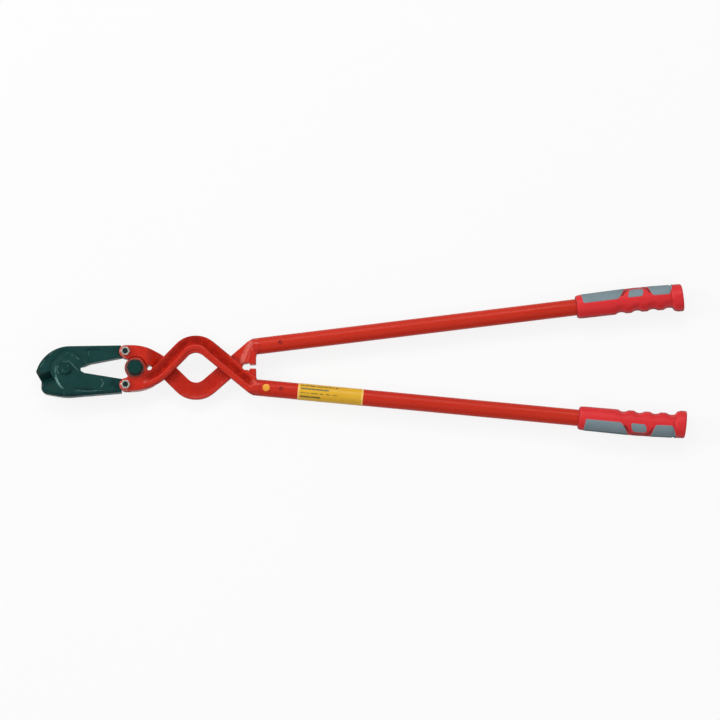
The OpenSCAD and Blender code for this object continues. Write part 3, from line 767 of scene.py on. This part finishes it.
def shape_arm(co, nv):
    """Sculpts the front arm: channel in the front face, dished back, round end at the tube."""
    p = co.copy()
    run, u, v, strength = band_place(p)
    p[:, 2] -= channel(v) * smoothstep(5.5, 9, p[:, 2]) * strength
    back = half_band(p[:, 0]) * smoothstep(1.8, 0.6, p[:, 2]) * smoothstep(1.2, 1.0, np.abs(u))
    p[:, 2] += DISH * back * np.clip(1 - u * u, 0, 1)
    p = round_end(p, run)
    return p + nv * (waves(p, 9, 3) * ARM_UNEVEN)[:, None]


def sharp_laps(co):
    """Bores and the stop's faces keep more of their edges than the rest of a forging."""
    x, y, _ = co.T
    stop = (x > STOP_X - 1) & (x < STOP_X + STOP_LEN + 1) & (np.abs(y) < 4)
    return np.clip(smoothstep(9, 7, np.hypot(x, y)) + 0.5 * stop, 0, 1)


def turned_over(co):
    return co * [1, -1, -1] + [0, 0, 2 * MID]


def arm_shade(p, nv):
    """Painted shade along the channel's floor and its outer slope, on the side walls and on the dished back.
    """
    run, _, v, strength = band_place(p)
    floor = np.interp(v, [-0.34, -0.16, 0.05, 0.4, 0.8, 1], [0, 0.85, 1, 0.9, 0.55, 0.6])
    # The outer edge is bright again on the leg down to the bend
    floor -= smoothstep(0.35, 0.75, v) * smoothstep(-62, -30, run) * 0.75
    floor *= smoothstep(2, 5, p[:, 2]) * strength
    wall = smoothstep(0.7, 0.3, np.abs(nv[:, 2])) * (np.hypot(p[:, 0], p[:, 1]) > 9)
    back = smoothstep(-0.5, -0.9, nv[:, 2]) * half_band(p[:, 0]) * smoothstep(3.5, 2.5, np.abs(p[:, 2]))
    return np.maximum(np.maximum(0.8 * floor, 0.6 * wall), 0.26 * back)


def build_arms(paint):
    front = forging("front_arm", ARM_VOXEL, 5, shape_arm, sharp_laps, [groove_filling()])
    stored_mark(front.data, "shade", arm_shade(coordinates(front.data) - [0, 0, MID], normals(front.data)))
    other = front.data.copy()
    other.name = "rear_arm_forging"
    set_coordinates(other, turned_over(coordinates(other)))
    mark_finish(front.data, ARM_MARKS["front"], MID + 2)
    mark_finish(other, ARM_MARKS["rear"], MID - 3)
    placed(front, "front_arm", "arm_paint", paint)
    placed(new_object(other), "rear_arm", "arm_paint", paint)


# Jaws

# The lower jaw's lit front edge, down from the lobe, with rounded corners
HUB_EDGE = np.array([(-111.6, 12), (-111.2, -3), (-110.2, -11.5), (-106.8, -20), (-101.6, -26.5), (-97, -32)])
HUB_PATH = stations(HUB_EDGE, [4] * len(HUB_EDGE))
NOSE_DROP, RIDGE, EDGE_DROP = 1.3, 0.35, 0.7  # of the lower jaw's face
LOWER_FORK_DROP, UPPER_FORK_DROP = 0.8, 0.5
LOWER_UNEVEN, UPPER_UNEVEN = 0.07, 0.05

# The upper jaw's inner edge where it curls in to the crotch, from the jaw bolt
CROTCH = [(36, 7.55), (31.5, 6.3), (28.9, 5.1), (26.4, 3.9)]
CROTCH += [(24.4, 2.75), (23.2, 1.95), (22, 0.8), (20.9, -0.5), (20, -1.5)]
BLADE_AXIS = direction(math.radians(BLADE_ANGLE))
BLADE_SIDE = np.array([-BLADE_AXIS[1], BLADE_AXIS[0]])
BLADE_CLEAR = 0.02  # from each cutting edge to the cutting line
SEAT_DEPTH = 1.15  # of the recess in the upper jaw that the lower jaw's flange turns in


def blade_mask(co):
    """1 on the ground bevels and the cutting edges."""
    rel = co[:, :2] - JAW_PIN
    a, b = rel @ BLADE_AXIS, rel @ BLADE_SIDE
    return smoothstep(BLADE_IN - 2.5, BLADE_IN - 0.5, a) * smoothstep(9.5, 8.2, np.abs(b))


def closed_blade(co, side):
    """The points with the cutting edge drawn out to the cutting line; side is 1 for the jaw above it."""
    p = co.copy()
    rel = p[:, :2] - JAW_PIN
    across = -side * BLADE_SIDE
    a, b = rel @ BLADE_AXIS, rel @ across
    zone = (a > BLADE_IN - 1) & (a < BLADE_OUT + 12) & (b > 0) & (b < 4)
    bins = np.arange(BLADE_IN - 1, BLADE_OUT + 12, 1.5)
    tips = [b[zone & (np.abs(a - at) < 1.5)].min(initial=9) for at in bins]
    tip = np.interp(a, bins, tips)
    deep = b - tip
    # From the edge inwards: drawn to the line, then back in step at 3 mm
    drawn = BLADE_CLEAR + np.clip(deep - 0.5, 0, None) * (3 - BLADE_CLEAR + tip) / 2.5
    pull = np.where(zone & (tip < 2) & (deep < 3), drawn - b, 0)
    pull *= smoothstep(BLADE_IN - 1.5, BLADE_IN - 0.5, a)
    p[:, :2] += pull[:, None] * across
    return p


def front_face(p, nv):
    """1 on a jaw's front face, 0 on its sides and back."""
    return smoothstep(6, 8.5, p[:, 2]) * smoothstep(0.3, 0.7, nv[:, 2])


def shape_lower_jaw(co, nv):
    p = closed_blade(co, -1)
    x, y, _ = p.T
    top = front_face(p, nv)
    _, front = along(HUB_PATH, p[:, :2])
    # The nose lies lower than the hub, behind a thin ridge
    p[:, 2] -= NOSE_DROP * top * smoothstep(0.4, -1.2, front) * (x < -99) * (1 - 0.7 * blade_mask(co))
    ridge = hill(front, 0.9, 0.8) * smoothstep(-30, -27, y) * smoothstep(4, 1, y)
    p[:, 2] += RIDGE * top * ridge
    # Steps down to the outer edge and to the fork
    outer = smoothstep(-29.2, -30.8, y) * smoothstep(-92, -86, x) * smoothstep(-38, -42, x)
    p[:, 2] -= EDGE_DROP * top * outer
    p[:, 2] -= LOWER_FORK_DROP * top * smoothstep(-45.6, -44.2, x)
    return p + nv * (waves(p, 8, 5) * LOWER_UNEVEN * (1 - blade_mask(co)))[:, None]


def flange_reach(angle):
    """Reach of the lower jaw's flange round the jaw bolt, over the angle from +X in degrees."""
    return np.interp(angle, [-40, 9, 30, 74, 108, 186, 198, 240], [27, 26.8, 24, 24, 18, 18, 20.6, 20.6])


def shape_upper_jaw(co, nv):
    p = closed_blade(co, 1)
    z = p[:, 2]
    top = front_face(p, nv)
    x, y = (p[:, :2] - JAW_PIN).T
    r, angle = np.hypot(x, y), np.degrees(np.arctan2(y, x)) % 360
    reach = np.maximum(flange_reach(angle - JAWS_OPEN), flange_reach(angle))
    floor = JAW_HALF - SEAT_DEPTH * smoothstep(reach + 4.2, reach + 1.7, r)
    seat = smoothstep(4, 5.5, z) * (angle < 215) * (z > floor)
    p[:, 2] += (floor - z) * seat
    p[:, 2] -= UPPER_FORK_DROP * top * smoothstep(-65.6, -64.2, p[:, 0])
    even = (1 - blade_mask(co)) * smoothstep(reach, reach + 3, r)
    return p + nv * (waves(p, 8, 6) * UPPER_UNEVEN * even)[:, None]


def prism(outline, low, high):
    """A closed upright prism over a counterclockwise outline, in the tool's frame."""
    n = len(outline)
    points = np.concatenate([np.column_stack([outline + JAW_PIN, np.full(n, z + MID)]) for z in (low, high)])
    faces = [tuple(range(n))[::-1], tuple(range(n, 2 * n))]
    faces += [(i, (i + 1) % n, (i + 1) % n + n, i + n) for i in range(n)]
    return points, faces


def crotch_fill():
    """Rounds the corner between the upper jaw's inner edge and its crotch web, as far as the lower jaw's
    leg leaves it room when the jaws are wide open."""
    curve = CROTCH[3::-1]
    back = np.concatenate([curve, [(36, 8.5), (18.5, 5.2), (18.5, 3.3), (22, 3.3)]])
    front = np.concatenate([curve, [(36, 8.5), (16.8, 5), (16.8, 2.8)]])
    return [prism(back, -JAW_HALF + 0.02, -LAP - 0.05), prism(front, 0.4, JAW_HALF - 0.05)]


def build_flange(finish):
    """The thin flange on the lower jaw's face that covers the gap round its lobe."""
    leg = [(9, -9), (18, -9.5), (26, -8.5), (26.5, -6.0), (23.2, -3.9)]
    turn = np.radians(np.arange(10, 221, 2.0))
    lobe = flange_reach(np.degrees(turn))[:, None] * np.column_stack([np.cos(turn), np.sin(turn)])
    outer = np.concatenate([leg, CROTCH[:2:-1], lobe])
    run = np.concatenate([[0], np.cumsum(np.linalg.norm(np.diff(outer, axis=0), axis=1))])
    at = np.arange(0, run[-1], 0.6)
    outer = np.column_stack([np.interp(at, run, v) for v in outer.T])
    length = np.linalg.norm(outer, axis=1)
    unit = outer / length[:, None]
    inner_r = 9.2
    lobe_up, leg_down = 0.55, 0.35
    # Rings from the foot of the rim over its rounded edge and in to the bolt's bore
    foot, top, inset_end = -0.62, 0.06, 3
    edge = ((0.28, foot), (0, -0.45), (0, -0.2), (0.1, -0.06), (0.35, 0.02), (1.2, 0.05), (inset_end, top))
    rings = [(np.maximum(length - inset, inner_r + 0.1), z) for inset, z in edge]
    across = np.maximum(length - inset_end, inner_r + 0.1) - inner_r
    rings += [(inner_r + across * share, top) for share in np.linspace(0.95, 0, 20)]
    rings.append((np.full(len(length), inner_r), foot))
    points = []
    for r, z in rings:
        xy = unit * r[:, None]
        raised = lobe_up * smoothstep(LOBE_R + 0.1, LOBE_R - 0.6, r) * smoothstep(-2, -9, xy[:, 0])
        sunk = leg_down * smoothstep(LOBE_R - 0.2, LOBE_R + 0.5, r) * smoothstep(-1, -8, xy[:, 0])
        height = z + (raised - sunk) * (z > -0.3)
        points.append(np.column_stack([xy + JAW_PIN, JAW_HALF + height + MID]))
    mesh = mesh_from("lower_jaw_flange", np.concatenate(points), bar_faces(len(rings), len(outer)))
    with edited(mesh) as bm:
        bmesh.ops.recalc_face_normals(bm, faces=bm.faces)
        if bm.calc_volume(signed=True) < 0:
            bmesh.ops.reverse_faces(bm, faces=bm.faces)
    mark_finish(mesh, JAW_MARKS["flange"], MID)
    placed(new_object(mesh), "lower_jaw", "jaw", finish, replace=False)


def build_jaws(finish, ground):
    jaws = (("upper_jaw", shape_upper_jaw, crotch_fill()), ("lower_jaw", shape_lower_jaw, ()))
    for node, shape, extra in jaws:
        ob = forging(node, JAW_VOXEL, 4, shape, blade_mask, extra)
        placed(ob, node, "jaw", finish, ground)
        mesh = ob.data
        centre, normal = vectors(mesh.polygons, "center") / MM, vectors(mesh.polygons, "normal")
        slope = (np.abs(normal[:, 2]) < 0.93) & (blade_mask(centre) > 0.5)
        mesh.polygons.foreach_set("material_index", slope.astype(np.int32))
        mark_finish(mesh, JAW_MARKS[node], MID)
    build_flange(finish)


# Grips


def finger_cut(x):
    """Depth of the finger grooves along the grip."""
    middles = FINGER_START + FINGER_PITCH * np.arange(FINGERS)
    d = np.abs(x - middles[:, None]).min(0)
    round_cut = np.sqrt(np.clip(FINGER_R**2 - d**2, 0, None))
    return np.maximum(round_cut - (FINGER_R - FINGER_DEPTH), 0)


def grip_section(x):
    """Radius and lean of the grip at stations along it."""
    r = np.interp(x, [0, 0.3, 1.0, 2.2, 4, 8, 85, 131], [14.0, 14.7, 15.4, 15.9, 16.3, 16.6, GRIP_R, NECK_R])
    flare = 0.55 * smoothstep(133.6, 135.8, x) + 0.45 * smoothstep(134.5, 141, x)
    r = r + (GRIP_END_R - NECK_R) * flare - 0.6 * hill(x, FLARE_AT, 1.3)
    r = r + 0.3 * hill(x, 136.2, 0.8)
    end = np.clip((x - (GRIP_LEN - 3)) / 3, 0, 1)
    r = r - 2.2 * (1 - np.sqrt(np.clip(1 - end**2, 0, 1)))
    lean = np.interp(x, [0, 85, 131, 140, 149], [0, 0, 2, 4.2, GRIP_END_LEAN])
    return r, lean


def grip_point(x, psi, skin=0.0):
    """A point of the lower grip's surface; psi is the angle from the outer side, which is at -Y."""
    r, lean = grip_section(x)
    inner = np.clip(-np.cos(psi), 0, 1)
    r = r - finger_cut(x) * smoothstep(0.25, 0.9, inner) + skin
    return np.stack([x, lean - r * np.cos(psi), r * np.sin(psi)], -1)


def grip_surface():
    """Rings along the grip, closed at both ends, with a bore mouth at the front."""
    along_grip = np.arange(0, GRIP_LEN, 1.0)
    ends = [np.linspace(0, 9, 19), np.linspace(GRIP_LEN - 3, GRIP_LEN, 12)]
    x = np.unique(np.concatenate([along_grip, *ends]))
    n = 112  # points round a ring
    psi = np.arange(n) * 2 * math.pi / n

    def ring(at, r, lean=0.0):
        return np.stack([np.full(n, at), lean - r * np.cos(psi), r * np.sin(psi)], -1)

    mouth = [ring(0.9, TUBE_R + 0.25), ring(0.0, 12.1)]
    body = [grip_point(np.full(n, v), psi) for v in x]
    # The end's flat face, with a shallow round hollow
    end_lean = grip_section(np.array([GRIP_LEN]))[1][0]
    hollow = ((16.0, 0.0), (14.6, 0.0), (14.2, -0.7), (8.0, -0.8), (3.0, -0.8))
    points = np.concatenate(mouth + body + [ring(GRIP_LEN + dx, r, end_lean) for r, dx in hollow])
    last = len(points) - n
    faces = []
    for k in range(0, last, n):
        faces += [(k + i, k + (i + 1) % n, k + n + (i + 1) % n, k + n + i) for i in range(n)]
    return points, faces + [tuple(reversed(range(last, last + n))), tuple(range(n))]


def rounded(reach, corner):
    """How far an inlay's end draws back at a distance from its edge, for a round corner."""
    k = np.clip(1 - reach / corner, 0, 1)
    return corner * (1 - np.sqrt(1 - k**2))


def panel(inner, outer, psi_from):
    """An inlay from a wrap angle to PSI_EDGE: its ends run from outer there to inner at the edge. It is a
    thin cushion that stands a little proud, with its rim turned down into the grip."""
    apart = psi_from > 0  # from its mirror image on the back
    rows, cols = ((28, 60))
    rim = np.array([0, 0.012, 0.03, 0.06])
    v = np.unique(np.concatenate([rim, 1 - rim, np.linspace(0.06, 0.94, rows)]))
    w = np.unique(np.concatenate([rim * 0.6, 1 - rim * 0.6, np.linspace(0.04, 0.96, cols)]))
    wrap = PSI_EDGE - psi_from
    psi = psi_from + wrap * v
    high, low = math.cos(psi_from), math.cos(PSI_EDGE)
    share = (high - np.cos(psi)) / (high - low)
    start, end = (a + (b - a) * share for a, b in zip(outer, inner))
    reach = (np.cos(psi) - low) * GRIP_R
    start, end = start + rounded(reach, FRONT_CORNER), end - rounded(reach, BACK_CORNER)
    if apart:
        side = rounded((high - np.cos(psi)) * GRIP_R, SIDE_CORNER)
        start, end = start + side, end - side
    x = start[:, None] + (end - start)[:, None] * w
    angle = np.repeat(psi[:, None], len(w), 1)
    edge_v = (np.minimum(v, 1 - v) if apart else 1 - v)[:, None] * wrap * GRIP_R
    edge_w = np.minimum(w, 1 - w) * np.maximum(end - start, 1)[:, None]
    inset = np.minimum(edge_v, edge_w)
    skin = -RIM_SUNK + (RIM_SUNK + PROUD) * np.sqrt(np.clip(inset / RIM_WIDTH, 0, 1))
    points = grip_point(x.ravel(), angle.ravel(), skin.ravel())
    n = len(w)
    first = [a * n + b for a in range(len(v) - 1) for b in range(n - 1)]
    return points, [(k, k + n, k + n + 1, k + 1) for k in first]


def both_sides(points, faces):
    """A panel and its mirror image through the tool's middle plane, as one mesh."""
    n = len(points)
    mirrored = [tuple(i + n for i in f[::-1]) for f in faces]
    return np.concatenate([points, points * [1, 1, -1]]), faces + mirrored


# Each inlay's start and end at PSI_EDGE and at its first wrap angle, and that angle
INLAYS = {
    "front": ((9.8, 59.5), (7.8, 70.5), 0.0),
    "middle": ((72.0, 93.0), (74.5, 96.5), math.acos(13.7 / GRIP_R)),
    "rear": ((107.0, 131.0), (101.0, 137.0), 0.0),
}
PSI_EDGE = math.acos(2 / GRIP_R)
FRONT_CORNER, BACK_CORNER, SIDE_CORNER = 3.0, 4.0, 4.5
RIM_WIDTH, RIM_SUNK, PROUD = 0.9, 0.5, 0.28

# The groove that runs round the middle inlay: stations along the grip and reaches to its outer side
SWOOSH = [(64.5, 7.5), (67.5, 10.5), (70.3, 13.2), (74, 15.2), (82, 15.9)]
SWOOSH += [(92, 15.8), (98, 14.2), (101.5, 11), (103.6, 7.5)]
GROOVE_SHARE = 0.035  # its depth as a share of the grip's radius


def swoosh_near(points, far, close):
    """From 0 at far to 1 at close to the groove's line."""
    return smoothstep(far, close, distance_to(np.column_stack([points[:, 0], -points[:, 1]]), SWOOSH))


def grip_shade(points, front):
    """Painted shade in the groove round the middle inlay, along the two sides, round the front end and in the
    dip before the end's flare.
    """
    x, y, z = points.T
    y = y - grip_section(x)[1]
    turned = np.abs(y) / np.maximum(np.hypot(y, z), 1e-6)
    rim = np.maximum(smoothstep(0.88, 0.98, turned), smoothstep(1.6, 0.4, x))
    rim = np.maximum(rim, 0.4 * front * hill(x, FLARE_AT, 1.2))
    return np.maximum(0.9 * swoosh_near(points, 2.4, 1.1) * front, 0.8 * rim)


def build_grips(plastic, rubber):
    body, body_faces = grip_surface()
    groove = swoosh_near(body, 1.7, 0.3) * (body[:, 1] < 0)
    body[:, 1:] *= (1 - GROOVE_SHARE * groove)[:, None]
    pieces = [("grip", body, body_faces, "grip", plastic)]
    for where, (inner, outer, psi_from) in INLAYS.items():
        points, faces = both_sides(*panel(inner, outer, psi_from))
        pieces.append(("inlay_" + where, points, faces, "inlay", rubber))
    for side in ("lower", "upper"):
        for part, points, faces, slot, material in pieces:
            x, y, z = points.T
            spots = in_tool(x + GRIP_START, y, z + MID)
            if side == "upper":
                spots = turned_over(spots)
            node = f"{side}_{part}"
            mesh = mesh_from(node + "_moulding", spots, faces)
            stored_mark(mesh, "shade", grip_shade(points, part == "grip"))
            with edited(mesh) as bm:
                bmesh.ops.remove_doubles(bm, verts=bm.verts, dist=1e-6)
                bmesh.ops.recalc_face_normals(bm, faces=bm.faces)
            placed(new_object(mesh), node, slot, material)


# Hardware and tubes


def ring_faces(mesh, width):
    """Parts a ring off every large flat face, so that a mark can be stored inside it."""
    with edited(mesh) as bm:
        large = [f for f in bm.faces if f.calc_area() > 60 * MM * MM and abs(f.normal.z) > 0.9]
        bmesh.ops.inset_individual(bm, faces=large, thickness=width * MM)


def bolt_darkening(co, node):
    """The centre bolt's head is darker round its edge, and the link bolts' ends are darker all over."""
    if node == "centre_bolt":
        return 0.95 * smoothstep(8.2, 9.8, np.hypot(co[:, 0], co[:, 1]))
    return np.full(len(co), 0.0 if node == "jaw_bolt" else 0.75)


def painted_shut(mesh):
    """Closes a rolled pin's bore near both ends with a skin of paint."""
    co = coordinates(mesh)
    low, high = co.min(0), co.max(0)
    middle = (low + high) / 2
    skin_r = (np.hypot(*(co - middle)[:, :2].T).min() + 0.3) * MM
    sunk, thickness = 0.5, 0.4 * MM
    with edited(mesh) as bm:
        for z in (low[2] + sunk, high[2] - sunk):
            place = Matrix.Translation(Vector((middle[0], middle[1], z)) * MM)
            bmesh.ops.create_cone(
                bm, cap_ends=True, segments=24, radius1=skin_r, radius2=skin_r, depth=thickness, matrix=place
            )


def build_hardware(black, bright, dull, spring):
    for node in ("jaw_bolt", "centre_bolt", "upper_link_bolt", "lower_link_bolt"):
        ob = machined(node, "turned", 0.35, 3)
        ring_faces(ob.data, 2.4)
        stored_mark(ob.data, "tinted", bolt_darkening(coordinates(ob.data), node))
        placed(ob, node, "blackened_bolt", black)
    for node in ("jaw_washer", "jaw_nut", "upper_link_nut", "lower_link_nut", "centre_nut"):
        placed(machined(node, "plated", 0.25), node, "zinc", bright)
    for node in ("front_washer", "rear_washer"):
        placed(machined(node, "pressed", 0.25), node, "zinc", dull)
    for node in ("upper_tube_pin", "lower_tube_pin"):
        ob = machined(node, "rolled", 0.15)
        painted_shut(ob.data)
        placed(ob, node, "pin_steel", spring)


def build_tubes(paint, label, dot):
    for node in ("upper_tube", "lower_tube"):
        placed(machined(node, "drawn", 0.3), node, "tube_paint", paint)
    placed(machined("tube_label", "wrap", 0.06, 1), "tube_label", "label", label)
    placed(machined("marker_dot", "sticker", 0.06, 1), "marker_dot", "label", dot)


# Stage

CAMERA_ELEVATION = 83
CAMERA_ROLL = 0.8
CAMERA_DISTANCE = 5.2
FIELD = 1.001  # width of the picture on the tool's middle plane, in metres
CENTRE = Vector((0.3120, 0.0077, MID * MM))
DOME_RIM, DOME_TOP = 0.42, 0.25  # brightness of the studio's walls and its ceiling


def studio_dome():
    """A white studio that gets darker from its walls up to its ceiling."""
    world = bpy.data.worlds.new("studio")
    world.use_nodes = True
    tree = world.node_tree
    place = tree.nodes.new("ShaderNodeTexCoord")
    parts = tree.nodes.new("ShaderNodeSeparateXYZ")
    dome = tree.nodes.new("ShaderNodeMapRange")
    dome.interpolation_type = "SMOOTHSTEP"
    preset(dome, {"From Min": 0.15, "From Max": 0.95, "To Min": DOME_RIM, "To Max": DOME_TOP})
    light = tree.nodes["Background"]
    preset(light, {"Color": (1, 1, 1, 1)})
    tree.links.new(place.outputs["Generated"], parts.inputs["Vector"])
    tree.links.new(parts.outputs["Z"], dome.inputs["Value"])
    tree.links.new(dome.outputs["Result"], light.inputs["Strength"])
    return world


def set_stage():
    scene = bpy.context.scene
    floor = bpy.data.meshes.new("floor")
    floor.from_pydata([(-6, -6, 0), (6, -6, 0), (6, 6, 0), (-6, 6, 0)], [], [(0, 1, 2, 3)])
    floor.materials.append(floor_finish())
    new_object(floor)

    def panel_light(name, place, aim, size, power):
        data = bpy.data.lights.new(name, "AREA")
        data.shape = "RECTANGLE"
        data.size, data.size_y = size
        data.energy = power
        lamp = new_object(data)
        lamp.location = place
        lamp.rotation_euler = (Vector(aim) - Vector(place)).to_track_quat("-Z", "Y").to_euler()
        return lamp

    panel_light("key", (0.1, 2.0, 2.2), (0.3, 0, 0), (3.0, 0.9), 35)
    panel_light("side", (-3.0, 0.8, 2.2), (0.2, 0, 0), (1.3, 1.3), 56)
    # The fill light gives no reflections, so that the slopes that face it keep their colour
    panel_light("front", (0.6, -1.3, 2.6), (0.3, 0, 0), (3.0, 1.4), 18).visible_glossy = False

    scene.world = studio_dome()

    camera = bpy.data.cameras.new("camera")
    camera.lens = camera.sensor_width * CAMERA_DISTANCE / FIELD
    eye = new_object(camera)
    tilt = Matrix.Rotation(math.radians(90 - CAMERA_ELEVATION), 4, "X")
    roll = Matrix.Rotation(-math.radians(CAMERA_ROLL), 4, "Z")
    back = Matrix.Translation((0, 0, CAMERA_DISTANCE))
    eye.matrix_world = Matrix.Translation(CENTRE) @ tilt @ roll @ back
    scene.camera = eye
    scene.view_settings.view_transform = "Standard"


for old in list(bpy.data.objects):
    bpy.data.objects.remove(old)
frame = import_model()

build_arms(arm_paint())
build_jaws(jaw_finish(), ground_blade())
build_hardware(blackened(), zinc(), washer_steel(), painted_pin())
build_tubes(tube_paint(), label_print(), dot_print())
build_grips(grip_plastic(), inlay_rubber())
set_stage()
